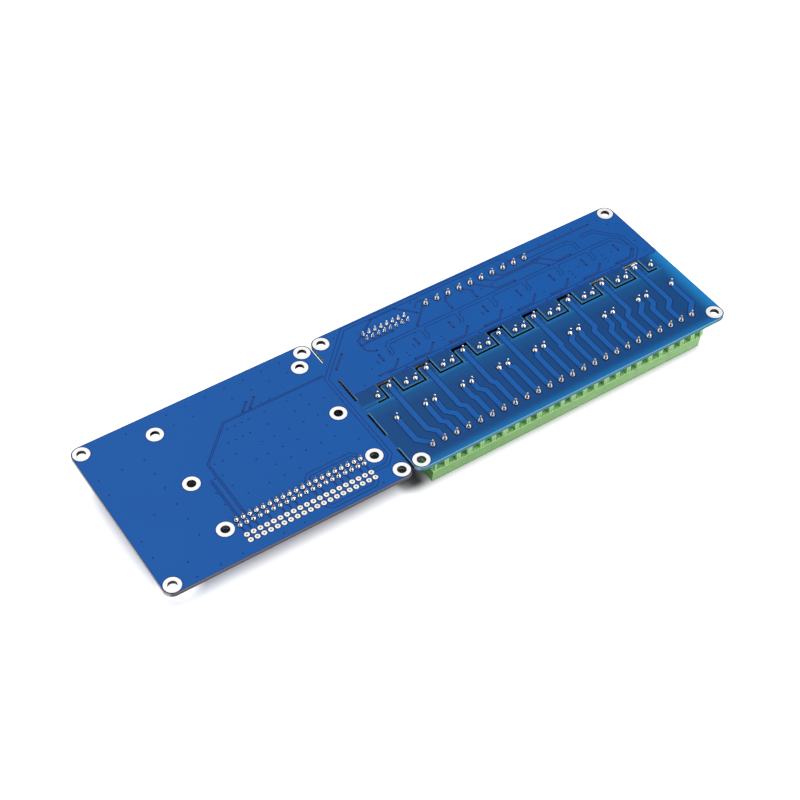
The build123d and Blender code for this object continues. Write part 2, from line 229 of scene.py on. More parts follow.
def addFloor():
    shape = bmesh.new()
    bmesh.ops.create_grid(shape, x_segments=1, y_segments=1, size=studio["floorReach"] * mm)
    mesh = bpy.data.meshes.new("floor")
    shape.to_mesh(mesh)
    shape.free()
    floor = bpy.data.objects.new("floor", mesh)
    scene.collection.objects.link(floor)
    paper = bpy.data.materials.new("paleFloor")
    paper.use_nodes = True
    tree = paper.node_tree
    shader = tree.nodes["Principled BSDF"]
    shader.inputs["Roughness"].default_value = 0.9
    shader.inputs["Specular IOR Level"].default_value = 0.1
    shader.inputs["Emission Color"].default_value = (1, 1, 1, 1)
    place = tree.nodes.new("ShaderNodeTexCoord")
    x, y = partsOf(tree, place.outputs["Object"])[:2]
    masks = {key: boxMask(tree, x, y, *studio[key])
             for key in ("carrierShade", "relayShade", "deepShade", "cornerShade")}
    apart = tree.nodes.new("ShaderNodeVectorMath")
    apart.operation = "DISTANCE"
    tree.links.new(place.outputs["Object"], apart.inputs[0])
    apart.inputs[1].default_value = [c * mm for c in studio["openCorner"]]
    near, far = studio["openReach"]
    closed = rampNode(tree, apart.outputs["Value"], near * mm, far * mm)
    for key in ("carrierShade", "deepShade"):
        masks[key] = mathNode(tree, "MULTIPLY", masks[key], closed)
    # painted shadow: inside the boxes the floor loses its lift, and part of its grey
    lift = studio["floorLift"]
    for key in ("carrierShade", "relayShade"):
        lift = mixNumber(tree, masks[key], lift, 0.0)
    grey = mixNumber(tree, masks["deepShade"], studio["floorGrey"],
                     studio["floorGrey"] * studio["deepGrey"])
    grey = mathNode(tree, "MULTIPLY", grey,
                    mixNumber(tree, masks["cornerShade"], 1.0, studio["cornerGrey"]))
    tree.links.new(grey, shader.inputs["Base Color"])
    rays = tree.nodes.new("ShaderNodeLightPath")
    seen = combine(tree, "MAXIMUM", [rays.outputs[f"Is {kind} Ray"]
                                     for kind in ("Camera", "Glossy", "Transmission")])
    tree.links.new(mathNode(tree, "MULTIPLY", seen, lift), shader.inputs["Emission Strength"])
    clear = tree.nodes.new("ShaderNodeBsdfTransparent")      # seen from below, the floor is clear
    side = tree.nodes.new("ShaderNodeNewGeometry")
    either = tree.nodes.new("ShaderNodeMixShader")
    tree.links.new(side.outputs["Backfacing"], either.inputs["Fac"])
    tree.links.new(shader.outputs["BSDF"], either.inputs[1])
    tree.links.new(clear.outputs["BSDF"], either.inputs[2])
    tree.links.new(either.outputs["Shader"], tree.nodes["Material Output"].inputs["Surface"])
    mesh.materials.append(paper)


scene.view_settings.view_transform = "Standard"
addCamera()
addStudio()
addFloor()
print("camera, light and floor")


# shared effects

def newGroup(name, inputs, outputs):
    group = bpy.data.node_groups.new(name, "ShaderNodeTree")
    for label, kind, value in inputs:
        socket = group.interface.new_socket(label, in_out="INPUT", socket_type=kind)
        socket.default_value = value
    for label, kind in outputs:
        group.interface.new_socket(label, in_out="OUTPUT", socket_type=kind)
    start = group.nodes.new("NodeGroupInput")
    end = group.nodes.new("NodeGroupOutput")
    return group, start, end


grainShare = 0.6      # of the grain beside the patches; noise has its middle at 0.5


# colour that wanders a little over the surface, and the grain's height for a bump
def makeMottle():
    group, start, end = newGroup(
        "mottle",
        [("Color", "NodeSocketColor", (0.5, 0.5, 0.5, 1)), ("Amount", "NodeSocketFloat", 0.1),
         ("Patch Scale", "NodeSocketFloat", 60), ("Grain Scale", "NodeSocketFloat", 1500)],
        [("Color", "NodeSocketColor"), ("Grain", "NodeSocketFloat"), ("Patch", "NodeSocketFloat")])
    place = group.nodes.new("ShaderNodeTexCoord")
    patch = group.nodes.new("ShaderNodeTexNoise")
    grain = group.nodes.new("ShaderNodeTexNoise")
    patch.inputs["Detail"].default_value = 3
    grain.inputs["Detail"].default_value = 2
    for noise, label in ((patch, "Patch Scale"), (grain, "Grain Scale")):
        group.links.new(place.outputs["Object"], noise.inputs["Vector"])
        group.links.new(start.outputs[label], noise.inputs["Scale"])
    both = mathNode(group, "ADD", patch.outputs["Fac"],
                    mathNode(group, "MULTIPLY", grain.outputs["Fac"], grainShare))
    centred = mathNode(group, "SUBTRACT", both, 0.5 * (1 + grainShare))
    swing = mathNode(group, "MULTIPLY", centred, start.outputs["Amount"])
    gain = mathNode(group, "ADD", swing, 1.0)
    scaled = group.nodes.new("ShaderNodeVectorMath")
    scaled.operation = "SCALE"
    group.links.new(start.outputs["Color"], scaled.inputs[0])
    group.links.new(gain, scaled.inputs["Scale"])
    group.links.new(scaled.outputs["Vector"], end.inputs["Color"])
    group.links.new(grain.outputs["Fac"], end.inputs["Grain"])
    group.links.new(patch.outputs["Fac"], end.inputs["Patch"])
    return group


# Each pair says between which two places, in millimetres, a mask of the panel comes in. The glow is
# painted light: bare laminate made paler along two edges and beside the slots, standing in for
# light let through it.
zoneEdges = {
    "relayHalf": (panel["jointX"] - 0.2, panel["jointX"] + 0.2),
    "pour": (panel["pourEdgeY"] - 0.08, panel["pourEdgeY"] + 0.08),
    "rightGlow": (109.0, 116.6), "frontGlow": (-36.4, -32.0),
    "wideGlow": (-11.0, -3.2), "slotGlow": (-4.9, -3.3), "slotLine": (-3.1, -3.0),
    "cellGlow": (-2.2, -0.7), "cellLine": (-2.6, -2.3),
    "sideX": (116.0, 116.2), "sideY": (35.7, 35.9), "cornerY": (32.6, 32.9),
    # litWall and the cells: where the painted light on the walls of the high runs goes
    "litWall": (4.8, 5.0), "firstCells": (2.0, 16.0), "lastCells": (72.0, 86.0),
    "farCells": (30.0, 60.0),
}
# how strong the painted glow is in each place
glowGain = {"front": 0.6, "wide": 0.16, "slot": 0.30, "cell": 0.34}
# the same on a wall, in millimetres below the solder side: bands of painted light and shade down
# the walls
wallDepths = {"lip": (0.55, 0.1), "rim": (0.36, 0.28), "band": (0.75, 0.6), "lit": (0.8, 0.6)}
# the same for a part of the surface normal
normalTurns = {"flat": (0.4, 0.6), "minus": (-0.8, -0.5), "corner": (0.15, 0.3)}


# masks over the panel: what shows there, where painted glow, light and shade go, and which way its
# walls face
def makeZones():
    group, start, end = newGroup(
        "panelZones", [],
        [(label, "NodeSocketFloat") for label in ("Laminate", "Glow", "Wall", "Rim", "Outside",
                                                  "Facing Left", "Carrier", "Lip", "Band",
                                                  "Lit", "Far Cells")])
    place = group.nodes.new("ShaderNodeTexCoord")
    x, y, z = partsOf(group, place.outputs["Object"])
    normals = partsOf(group, place.outputs["Normal"])

    def across(value, key, *outs):
        return rampNode(group, value, *(c * mm for c in zoneEdges[key]), *outs)

    def below(key, *outs):
        return rampNode(group, z, *((panel["top"] - c) * mm for c in wallDepths[key]), *outs)

    def facing(value, key, *outs):
        return rampNode(group, value, *normalTurns[key], *outs)

    def joined(operation, *values):
        return combine(group, operation, values)

    farX, farY, turnX, turnY, turnZ = (mathNode(group, "ABSOLUTE", value)
                                       for value in (x, y, *normals))
    relayHalf = across(x, "relayHalf")
    laminate = joined("MULTIPLY", relayHalf, across(y, "pour", 1, 0))
    slot = joined("ADD", across(y, "wideGlow", 0, glowGain["wide"]),
                  across(y, "slotGlow", 0, glowGain["slot"]))
    slot = joined("MULTIPLY", slot, across(y, "slotLine", 1, 0))
    cell = joined("MULTIPLY", across(y, "cellGlow", glowGain["cell"], 0), across(y, "cellLine"))
    glow = joined("MAXIMUM", across(x, "rightGlow"),
                  across(y, "frontGlow", glowGain["front"], 0), slot, cell)
    corner = joined("MULTIPLY", across(farY, "cornerY"), facing(turnX, "corner"),
                    facing(turnY, "corner"))
    ends = joined("ADD", across(x, "firstCells", 1, 0), across(x, "lastCells"))
    results = {
        "Laminate": laminate, "Glow": joined("MULTIPLY", glow, laminate),
        "Wall": facing(turnZ, "flat", 1, 0),
        "Outside": joined("MAXIMUM", across(farX, "sideX"), across(farY, "sideY"), corner),
        "Facing Left": facing(normals[0], "minus", 1, 0),
        "Carrier": joined("SUBTRACT", 1.0, relayHalf),
        "Lip": below("lip"), "Rim": below("rim"), "Band": below("band"),
        # painted light: walls coloured as lit, in the high runs of the first and the last relays
        "Lit": joined("MULTIPLY", across(y, "litWall"), facing(normals[1], "minus", 1, 0),
                      below("lit", 1, 0), ends),
        "Far Cells": across(x, "farCells"),
    }
    for label, value in results.items():
        group.links.new(value, end.inputs[label])
    return group


mottle = makeMottle()
zones = makeZones()


roughSwing = 0.15     # share by which the roughness wanders


# a material with mottled colour and grain; bumpDistance is in millimetres
def finish(name, colour, roughness, metallic=0.0, amount=0.08, patch=60, grain=1500,
           bump=0.0, bumpDistance=0.02, **shaderValues):
    material = bpy.data.materials.new(name)
    material.use_nodes = True
    tree = material.node_tree
    shader = tree.nodes["Principled BSDF"]
    wander = addMottle(tree, amount, patch, grain)
    wander.inputs["Color"].default_value = colour
    tree.links.new(wander.outputs["Color"], shader.inputs["Base Color"])
    rough = rampNode(tree, wander.outputs["Patch"], 0.3, 0.7, roughness * (1 - roughSwing),
                     roughness * (1 + roughSwing))
    tree.links.new(rough, shader.inputs["Roughness"])
    shader.inputs["Metallic"].default_value = metallic
    for label, value in shaderValues.items():
        shader.inputs[label.replace("_", " ")].default_value = value
    if bump:
        addRelief(tree, shader, wander.outputs["Grain"], bump, bumpDistance)
    return material


def addMottle(tree, amount, patch, grain):
    wander = tree.nodes.new("ShaderNodeGroup")
    wander.node_tree = mottle
    wander.inputs["Amount"].default_value = amount
    wander.inputs["Patch Scale"].default_value = patch
    wander.inputs["Grain Scale"].default_value = grain
    return wander


def addRelief(tree, shader, height, strength, distance):
    relief = tree.nodes.new("ShaderNodeBump")
    relief.inputs["Strength"].default_value = strength
    relief.inputs["Distance"].default_value = distance * mm
    tree.links.new(height, relief.inputs["Height"])
    tree.links.new(relief.outputs["Normal"], shader.inputs["Normal"])


boardColours = {
    # glow: painted light on the bare laminate, as light let through it
    "pour": shown(9, 92, 176), "laminate": shown(7, 74, 137), "glow": shown(18, 138, 212),
    # painted shade and light on the slot walls: a near black far wall with a lit line at its top,
    # and pale lit tops and bands on the walls that face left
    "shadedSlotWall": shown(10, 18, 24), "slotLip": shown(96, 158, 168),
    "slotEnd": shown(206, 246, 255), "slotBand": shown(140, 208, 230),
    "litNear": shown(190, 160, 140), "litFar": shown(255, 250, 244),   # painted light: lower wall, high runs
    "leftEdge": shown(206, 200, 188), "relayCorner": shown(150, 196, 216),
    # the rims are painted highlights, lighter bands along the top of the outer sides
    "carrierEdge": shown(100, 96, 104), "carrierRim": shown(142, 128, 127),
    "relayEdge": shown(84, 138, 168), "relayRim": shown(152, 200, 218),
    # the line along the milled outline: the mask's edge, paler on the relay half as a painted
    # highlight
    "rimLineCarrier": shown(14, 66, 142), "rimLineRelay": shown(52, 134, 204),
}


maskLook = {"amount": 0.10, "patch": 45, "grain": 2600, "bump": 0.12, "bumpDistance": 0.03,
            "specular": 0.10, "roughness": 0.42, "faceRoughness": 0.38, "wallRoughness": 0.75}


# solder mask over copper or bare laminate, with painted glow, and the milled sides of the panel,
# with painted light and shade
def makeBoardFinish(name, rimLine=False):
    material = bpy.data.materials.new(name)
    material.use_nodes = True
    tree = material.node_tree
    shader = tree.nodes["Principled BSDF"]
    area = tree.nodes.new("ShaderNodeGroup")
    area.node_tree = zones
    wander = addMottle(tree, maskLook["amount"], maskLook["patch"], maskLook["grain"])

    def blend(mask, *pair):
        first, second = (boardColours[c] if isinstance(c, str) else c for c in pair)
        return mixColour(tree, area.outputs[mask], first, second)

    if rimLine:
        face = blend("Laminate", "rimLineCarrier", "rimLineRelay")
    else:
        # painted light and shade on the slot walls: dark where shade falls, lit near the top and on
        # walls that face left
        litLeftSlotWall = blend("Rim", blend("Band", "shadedSlotWall", "slotBand"), "slotEnd")
        shadedSlotWall = blend("Lit", blend("Lip", "shadedSlotWall", "slotLip"),
                         blend("Far Cells", "litNear", "litFar"))
        shadedSlotWall = blend("Facing Left", shadedSlotWall, litLeftSlotWall)
        # painted highlight: a lighter rim along the top of each outer side
        carrierWall = blend("Rim", "carrierEdge", "carrierRim")
        relayWall = blend("Rim", "relayEdge", "relayRim")
        outerWall = blend("Carrier", relayWall, carrierWall)
        leftEdge = blend("Carrier", "relayCorner", "leftEdge")
        wall = blend("Outside", shadedSlotWall, blend("Facing Left", outerWall, leftEdge))
        face = blend("Laminate", "pour", blend("Glow", "laminate", "glow"))
        face = blend("Wall", face, wall)
    tree.links.new(face, wander.inputs["Color"])
    tree.links.new(wander.outputs["Color"], shader.inputs["Base Color"])
    rough = rampNode(tree, area.outputs["Wall"], 0, 1, maskLook["faceRoughness"],
                     maskLook["wallRoughness"])
    tree.links.new(rough, shader.inputs["Roughness"])
    shader.inputs["Specular IOR Level"].default_value = maskLook["specular"]
    addRelief(tree, shader, wander.outputs["Grain"], maskLook["bump"], maskLook["bumpDistance"])
    return material


# copper or a gap in it, under the same mask
def maskFinish(name, *colour):
    return finish(name, shown(*colour), maskLook["roughness"],
                  Specular_IOR_Level=maskLook["specular"],
                  **{key: maskLook[key] for key in ("amount", "patch", "grain", "bump",
                                                    "bumpDistance")})


terminalLook = {
    # thin, high, floor and lip are painted highlights; low is darker along the bottom
    "base": shown(121, 175, 98), "thin": shown(146, 200, 122), "low": shown(82, 142, 56),
    "farBase": shown(139, 194, 118),        # painted light: the same at the right end, where more light falls
    # painted highlight: a paler line along the ledge
    "high": shown(204, 250, 172), "floor": shown(206, 250, 188), "lip": shown(176, 222, 146),
    "firstEntry": -9.65, "pitch": 5.0,      # where the wire entries stand along X
    "floorTurn": (0.4, 0.8),                # how far up a floor faces
    "glow": {"Subsurface_Weight": 0.5, "Subsurface_Scale": 0.004,
             "Subsurface_Radius": (0.5, 1.0, 0.4)},
}
# between which two places, in millimetres, each look comes in
terminalEdges = {
    "far": (10.0, 110.0),                   # along X
    "wall": (1.8, 2.0),                     # from an entry's middle: where the painted highlight on the walls between the entries begins
    "ledge": (8.3, 8.5), "high": (8.4, 14.5), "low": (3.1, 3.5),   # up Z
    "lipFoot": (7.9, 8.2), "lipTop": (8.4, 8.5),
}


# moulded green plastic, with painted light: paler on the walls between the wire entries, on the
# upper part, along the ledge, on the floors of the entries, which face up, and at the right end;
# darker along the bottom
def makeTerminalFinish():
    material = finish("terminalGreen", terminalLook["base"], 0.42, patch=80, grain=2200,
                      bump=0.15, bumpDistance=0.03, **terminalLook["glow"])
    tree = material.node_tree
    wander = next(n for n in tree.nodes if n.bl_idname == "ShaderNodeGroup")
    place = tree.nodes.new("ShaderNodeTexCoord")
    x, z = partsOf(tree, place.outputs["Object"])[::2]
    half = terminalLook["pitch"] * mm / 2
    along = mathNode(tree, "SUBTRACT", x, terminalLook["firstEntry"] * mm)
    apart = mathNode(tree, "ABSOLUTE", mathNode(tree, "WRAP", along, half, -half))

    def ramp(value, key, *outs):
        return rampNode(tree, value, *(c * mm for c in terminalEdges[key]), *outs)

    up = rampNode(tree, partsOf(tree, place.outputs["Normal"])[2], *terminalLook["floorTurn"])
    colour = terminalLook["base"]
    for key, mask in (
            ("farBase", ramp(x, "far")),
            ("thin", mathNode(tree, "MULTIPLY", ramp(apart, "wall"), ramp(z, "ledge"))),
            ("high", ramp(z, "high")),
            ("lip", mathNode(tree, "MULTIPLY", ramp(z, "lipTop", 1, 0), ramp(z, "lipFoot"))),
            ("floor", up), ("low", ramp(z, "low", 1, 0))):
        colour = mixColour(tree, mask, colour, terminalLook[key])
    tree.links.new(colour, wander.inputs["Color"])
    return material


finishes = {
    "board": makeBoardFinish("solderMask"),
    "boardEdge": makeBoardFinish("rimLine", rimLine=True),
    "trace": maskFinish("maskedCopper", 16, 97, 180),
    "traceRim": maskFinish("traceRim", 14, 48, 104),
    "gap": maskFinish("copperGap", 10, 62, 136),
    "stroke": maskFinish("copperStroke", 26, 72, 144),
    "dot": maskFinish("strokeEnd", 10, 48, 114),
    "via": maskFinish("tentedVia", 6, 54, 128),
    # the dark rings round joints and lands: partly the mask's clearance, partly painted shade
    "halo": maskFinish("maskHalo", 4, 24, 78),
    "ringHalo": maskFinish("ringHalo", 4, 54, 136),
    "land": finish("tinnedLand", (1, 1, 1, 1), 0.30, amount=0.02, patch=300,
                   grain=1800, bump=0.15, Specular_IOR_Level=1.0),
    # painted shade: the plated hole walls are near black, as the holes look dark inside
    "barrel": finish("shadedPlatedBarrel", shown(18, 16, 20), 0.55, metallic=0.1, amount=0.3),
    "spareBarrel": finish("spareBarrel", shown(112, 108, 88), 0.45, metallic=0.3, amount=0.3),
    "solder": finish("solder", (0.95, 0.94, 0.92, 1), 0.14, metallic=0.95, patch=500, grain=2400,
                     bump=0.35, bumpDistance=0.06),
    "tan": finish("bareWireEnd", shown(214, 192, 160), 0.28, metallic=0.8, amount=0.2, patch=400),
    "green": makeTerminalFinish(),
    "clamp": finish("platedClamp", (0.62, 0.61, 0.58, 1), 0.35, metallic=0.9, amount=0.2,
                    patch=300, bump=0.2, bumpDistance=0.03),
    "screw": finish("platedScrew", (0.72, 0.71, 0.69, 1), 0.30, metallic=0.95, amount=0.18,
                    patch=300, bump=0.2, bumpDistance=0.03),
    "black": finish("blackPlastic", shown(34, 34, 36), 0.45, amount=0.15, patch=90, grain=2400,
                    bump=0.2, bumpDistance=0.03),
    "relay": finish("relayCase", shown(30, 30, 32), 0.38, amount=0.12, patch=40, grain=1800,
                    bump=0.15, bumpDistance=0.03),
    "yellow": finish("capYellow", shown(226, 190, 44), 0.42, patch=120, bump=0.15),
    "gold": finish("goldPin", shown(204, 176, 128), 0.25, metallic=0.9, amount=0.12, patch=400),
    "whiteChip": finish("couplerWhite", shown(214, 214, 208), 0.5, amount=0.07, patch=150,
                        bump=0.15),
    "lead": finish("tinnedLead", (0.75, 0.75, 0.76, 1), 0.28, metallic=0.9, amount=0.15, patch=400,
                   bump=0.2),
    "blackChip": finish("chipBlack", shown(40, 40, 42), 0.5, amount=0.15, patch=200, bump=0.2),
    "lamp": finish("lampLens", shown(214, 92, 78), 0.25, patch=200, Coat_Weight=0.4),
}
print("finishes made")


# CAD nodes that stay, with their finish

nodeFinishes = {
    "circuit_board": "board", "power_traces": "trace",
    "relay_terminal_blocks": "green", "input_terminal_blocks": "green",
    "relay_terminal_clamps": "clamp", "input_terminal_clamps": "clamp",
    "relay_terminal_screws": "screw", "input_terminal_screws": "screw",
    "socket_housing": "black", "socket_contacts": "gold",
    "jumper_base": "black", "jumper_pins": "gold", "jumper_caps": "yellow",
    "couplers": "whiteChip", "coupler_leads": "lead", "transistors": "blackChip",
    "flyback_diodes": "blackChip", "status_lamps": "lamp",
    "input_resistors": "blackChip", "lamp_resistors": "blackChip",
    "hole_lands": "land", "relay_pin_joints": "solder", "terminal_pin_joints": "solder",
    "input_pin_joints": "solder", "socket_pin_joints": "solder", "jumper_pin_joints": "solder",
}
nodeFinishes.update({f"relay_{n}": "relay" for n in range(1, 9)})
for name, kind in nodeFinishes.items():
    mesh = nodes[name].data
    mesh.materials.clear()
    mesh.materials.append(finishes[kind])


# helpers for new pieces

# make a piece of a bmesh, give it its finish, and let it ride on the one body
def addPiece(name, shape, kind, replaced=(), sharp=35):
    mesh = bpy.data.meshes.new(name)
    shape.to_mesh(mesh)
    shape.free()
    piece = bpy.data.objects.new(name, mesh)
    scene.collection.objects.link(piece)
    mesh.materials.append(finishes[kind])
    mesh.shade_smooth()
    mesh.set_sharp_from_angle(angle=math.radians(sharp))
    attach(piece, "root")
    if replaced:
        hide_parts(*replaced)


def asPattern(shape):
    mesh = bpy.data.meshes.new("pattern")
    shape.to_mesh(mesh)
    shape.free()
    return mesh


# mesh of a profile of (radius, height) spun about Z, in millimetres
def turned(profile, steps):
    shape = bmesh.new()
    points = [shape.verts.new((r * mm, 0, z * mm)) for r, z in profile]
    lines = [shape.edges.new(pair) for pair in zip(points, points[1:])]
    bmesh.ops.spin(shape, geom=points + lines, cent=(0, 0, 0), axis=(0, 0, 1),
                   angle=2 * math.pi, steps=steps, use_merge=True, use_normal_flip=False,
                   use_duplicate=False)
    bmesh.ops.remove_doubles(shape, verts=shape.verts, dist=1e-7)
    bmesh.ops.recalc_face_normals(shape, faces=shape.faces)
    return asPattern(shape)


# one bmesh with the pattern at every spot; wobble varies its height, lean tips it (degrees)
def copies(pattern, spots, height, wobble=0.0, lean=0.0):
    shape = bmesh.new()
    for x, y in spots:
        first = len(shape.verts)
        shape.from_mesh(pattern)
        shape.verts.ensure_lookup_table()
        added = shape.verts[first:]
        grow = 1 + random.uniform(-wobble, wobble)
        tip = math.radians(random.uniform(-lean, lean))
        spin = random.uniform(0, 2 * math.pi)
        move = (Matrix.Translation((x * mm, y * mm, height * mm))
                @ Matrix.Rotation(tip, 4, Vector((math.cos(spin), math.sin(spin), 0)))
                @ Matrix.Diagonal((1, 1, grow, 1)))
        bmesh.ops.transform(shape, matrix=move, verts=added)
    return shape


def row(firstX, y, count, pitch):
    return [(firstX + n * pitch, y) for n in range(count)]


headerPitch = 2.54


def twoRows(centreX, centreY, columns):
    left = centreX - (columns - 1) / 2 * headerPitch
    return [spot for side in (-1, 1)
            for spot in row(left, centreY + side * headerPitch / 2, columns, headerPitch)]


# places, the same values as in the source

cornersX = (-112.75, -25.25, -17.25, 112.75)
screwHoles = ([(x, y) for y in (-32.5, 32.5) for x in cornersX]
              + [(x, y) for y in (-22.25, 0.75, 26.75) for x in (-87.65, -29.65)])
relayXs = [-7.85 + n * 15.84 for n in range(8)]
contactSpots = [(x + side * 6, -12.25) for x in relayXs for side in (-1, 1)]
coilSpots = [(x + side * 6, -0.05) for x in relayXs for side in (-1, 1)]
commonSpots = [(x, 1.95) for x in relayXs]
terminalSpots = row(-10.25, -29.0, 24, 5.0)
inputSpots = row(26.15, 29.1, 10, 5.0)
socketSpots = twoRows(-58.65, -22.25, 20)
spareSpots = twoRows(-58.65, -29.15, 20)
jumperSpots = twoRows(6.9, 26.75, 8)


# Tinned rings on both sides, what their holes hold, and the dark ring round them, partly the mask's
# clearance and partly painted shade. Profiles are (radius, height over the panel), in millimetres.

land = {
    "ring": [(1.66, -0.03), (1.69, 0.06), (3.08, 0.06), (3.10, 0.0)], "steps": 64,
    "filling": [(1.68, -1.62), (1.68, -0.01), (1.71, -0.01), (1.71, -1.62), (1.68, -1.62)],
    "fillingSteps": 48, "fillingFinish": "barrel",
    "halo": [(3.05, 0.0), (3.06, 0.012), (3.44, 0.012), (3.44, 0.0)], "haloFinish": "ringHalo",
}
sparePad = {
    "ring": [(0.32, 0.0), (0.40, 0.06), (0.86, 0.06), (1.0, 0.0)], "steps": 20,
    "filling": [(0.0, 0.035), (0.34, 0.035), (0.35, 0.0)],
    "fillingSteps": 14, "fillingFinish": "spareBarrel",
    "halo": [(0.95, 0.0), (0.96, 0.01), (1.24, 0.01), (1.25, 0.0)], "haloFinish": "halo",
}


# the same copies under the panel instead of on it
def flipped(shape):
    bmesh.ops.transform(shape, matrix=Matrix.Translation((0, 0, panel["bottom"] * mm))
                        @ Matrix.Diagonal((1, 1, -1, 1)), verts=shape.verts)
    bmesh.ops.reverse_faces(shape, faces=shape.faces)
    return shape


def addRings(look, spots, rings, fillings, halos, replaced=()):
    ring = turned(look["ring"], look["steps"])
    addPiece(rings, copies(ring, spots, panel["top"]), "land", replaced)
    addPiece(rings + "Below", flipped(copies(ring, spots, 0)), "land")
    filling = turned(look["filling"], look["fillingSteps"])
    addPiece(fillings, copies(filling, spots, panel["top"]), look["fillingFinish"])
    halo = turned(look["halo"], look["steps"])
    addPiece(halos, copies(halo, spots, panel["top"]), look["haloFinish"])


addRings(land, screwHoles, "tinnedLands", "platedHoles", "landHalos", ["hole_lands"])
addRings(sparePad, spareSpots, "sparePads", "spareHoles", "spareHalos")
print("lands and pads")


# solder joints and the pin ends that stand in them

joint = {
    # (radius, height) of the fillet, then of the pin end in it, and the dark ring's width
    "relay": ([(1.06, 0.0), (1.06, 0.08), (0.96, 0.36), (0.74, 0.70), (0.44, 1.00), (0.24, 1.20),
               (0.17, 1.40)],
              [(0.21, 1.2), (0.20, 1.90), (0.26, 2.06), (0.34, 2.20), (0.36, 2.40), (0.27, 2.62),
               (0.0, 2.72)], 0.30),
    "terminal": ([(1.12, 0.0), (1.12, 0.10), (1.02, 0.40), (0.82, 0.78), (0.58, 1.12),
                  (0.40, 1.42), (0.30, 1.58)],
                 [(0.36, 1.40), (0.35, 2.26), (0.25, 2.42), (0.0, 2.46)], 0.26),
    "header": ([(0.94, 0.0), (0.94, 0.08), (0.87, 0.34), (0.70, 0.66), (0.46, 0.94), (0.30, 1.12)],
               [(0.27, 1.02), (0.26, 1.80), (0.18, 1.96), (0.0, 1.98)], 0.14),
    "jumper": ([(0.82, 0.0), (0.82, 0.10), (0.76, 0.38), (0.60, 0.76), (0.42, 1.10),
                (0.31, 1.40)],
               [(0.30, 1.32), (0.29, 1.66), (0.21, 1.82), (0.0, 1.86)], 0.12),
    "steps": 18, "wobble": 0.06, "lean": 3.0, "sharp": 60,   # share of the height, degrees
    "ringHeights": (0.03, 0.025),          # the dark ring at the joint, and at its outer side
}


def addJoints(which, kind, spots, tipFinish):
    fillet, pin, ringWidth = joint[kind]
    steps, top, replaced = joint["steps"], panel["top"], [f"{which}_pin_joints"]
    shape = copies(turned(fillet, steps), spots, top, joint["wobble"])
    tips = copies(turned(pin, steps // 2), spots, top, 0.0, joint["lean"])
    addPiece(which + "PinFillets", shape, "solder", replaced, joint["sharp"])
    addPiece(which + "PinTips", tips, tipFinish, replaced, joint["sharp"])
    # the dark ring round the joint: partly the mask's clearance, partly painted shade
    foot, (inner, outer) = fillet[0][0], joint["ringHeights"]
    halo = turned([(foot - 0.05, 0.0), (foot - 0.04, inner), (foot + ringWidth, outer),
                   (foot + ringWidth + 0.02, 0.0)], steps)
    addPiece(which + "PinHalos", copies(halo, spots, top), "halo")


addJoints("relay", "relay", contactSpots + commonSpots + coilSpots, "solder")
addJoints("terminal", "terminal", terminalSpots, "tan")
addJoints("input", "terminal", inputSpots, "tan")
addJoints("socket", "header", socketSpots, "gold")
addJoints("jumper", "jumper", jumperSpots, "solder")
print("solder joints")


# strips that follow the edges of a CAD node's top face

strip = {
    "board": (0.22, 0.012), "trace": (0.36, 0.006),   # width, and height over the panel
    "slack": 0.02, "flat": 0.9,   # how far off the level a face may lie, how far up it faces
}


# band along the outline of a node's flat faces at the solder side; a negative width leaves
# it outside the outline
def edgeStrip(node, width, lift):
    level = panel["top"] * mm
    shape = bmesh.new()
    shape.from_mesh(nodes[node].data)
    bmesh.ops.remove_doubles(shape, verts=shape.verts, dist=1e-6)
    away = [f for f in shape.faces
            if abs(f.normal.z) < strip["flat"]
            or abs(f.calc_center_median().z - level) > strip["slack"] * mm]
    bmesh.ops.delete(shape, geom=away, context="FACES")
    bmesh.ops.dissolve_limit(shape, angle_limit=0.01, verts=shape.verts, edges=shape.edges)
    bmesh.ops.recalc_face_normals(shape, faces=shape.faces)
    band = bmesh.ops.inset_region(shape, faces=list(shape.faces), thickness=width * mm,
                                  use_boundary=True, use_even_offset=True)["faces"]
    bmesh.ops.delete(shape, geom=[f for f in shape.faces if f not in set(band)], context="FACES")
    bmesh.ops.translate(shape, verts=shape.verts, vec=(0, 0, lift * mm))
    for f in shape.faces:
        if f.normal.z < 0:
            f.normal_flip()
    return shape


def addEdgeStrips():
    width, lift = strip["board"]
    # the strip along the milled outline is partly the mask's edge, partly a painted highlight on
    # the relay half
    addPiece("milledEdge", edgeStrip("circuit_board", width, lift), "boardEdge")
    width, lift = strip["trace"]
    addPiece("traceEdge", edgeStrip("power_traces", -width, lift), "traceRim")


addEdgeStrips()
print("edge strips")


# Gaps in the copper: thin lines, wide strokes and via dots. Points are measured from the lower
# left computer hole.

copper = {
    "thin": 0.42, "fine": 0.36, "wide": 1.02, "band": 0.74, "rise": 0.012,
    "track": 0.72, "narrow": 0.33,        # from a track's middle to the gap on each side
    "viaRadius": 0.36, "dotRadius": 0.52, "dome": [(0.0, 0.02), (0.6, 0.02), (1.0, 0.0)],
    "dotSteps": 12,
    "cellPitch": 15.24, "cells": 8,       # relay cells, and the same traces in each
    "bridgeFirst": 4.87, "bridgeEnds": (-1.6, -5.2),
    "bridges": (0, 1, 2, 4, 6, 7, 8, 11, 12, 14, 15, 16, 18, 19),   # columns of the socket
}

cellStrokes = [[(79.8, 30.1), (86.4, 30.1), (89.6, 33.3)], [(85.0, 35.6), (85.0, 38.7)]]
cellHook = [(89.2, 38.4), (89.2, 37.4), (88.4, 36.8), (88.8, 36.1), (89.8, 36.2), (90.6, 37.4),
            (90.6, 40.2), (91.5, 41.3)]
hookTail = [(104.4, 41.3), (104.4, 38.4)]

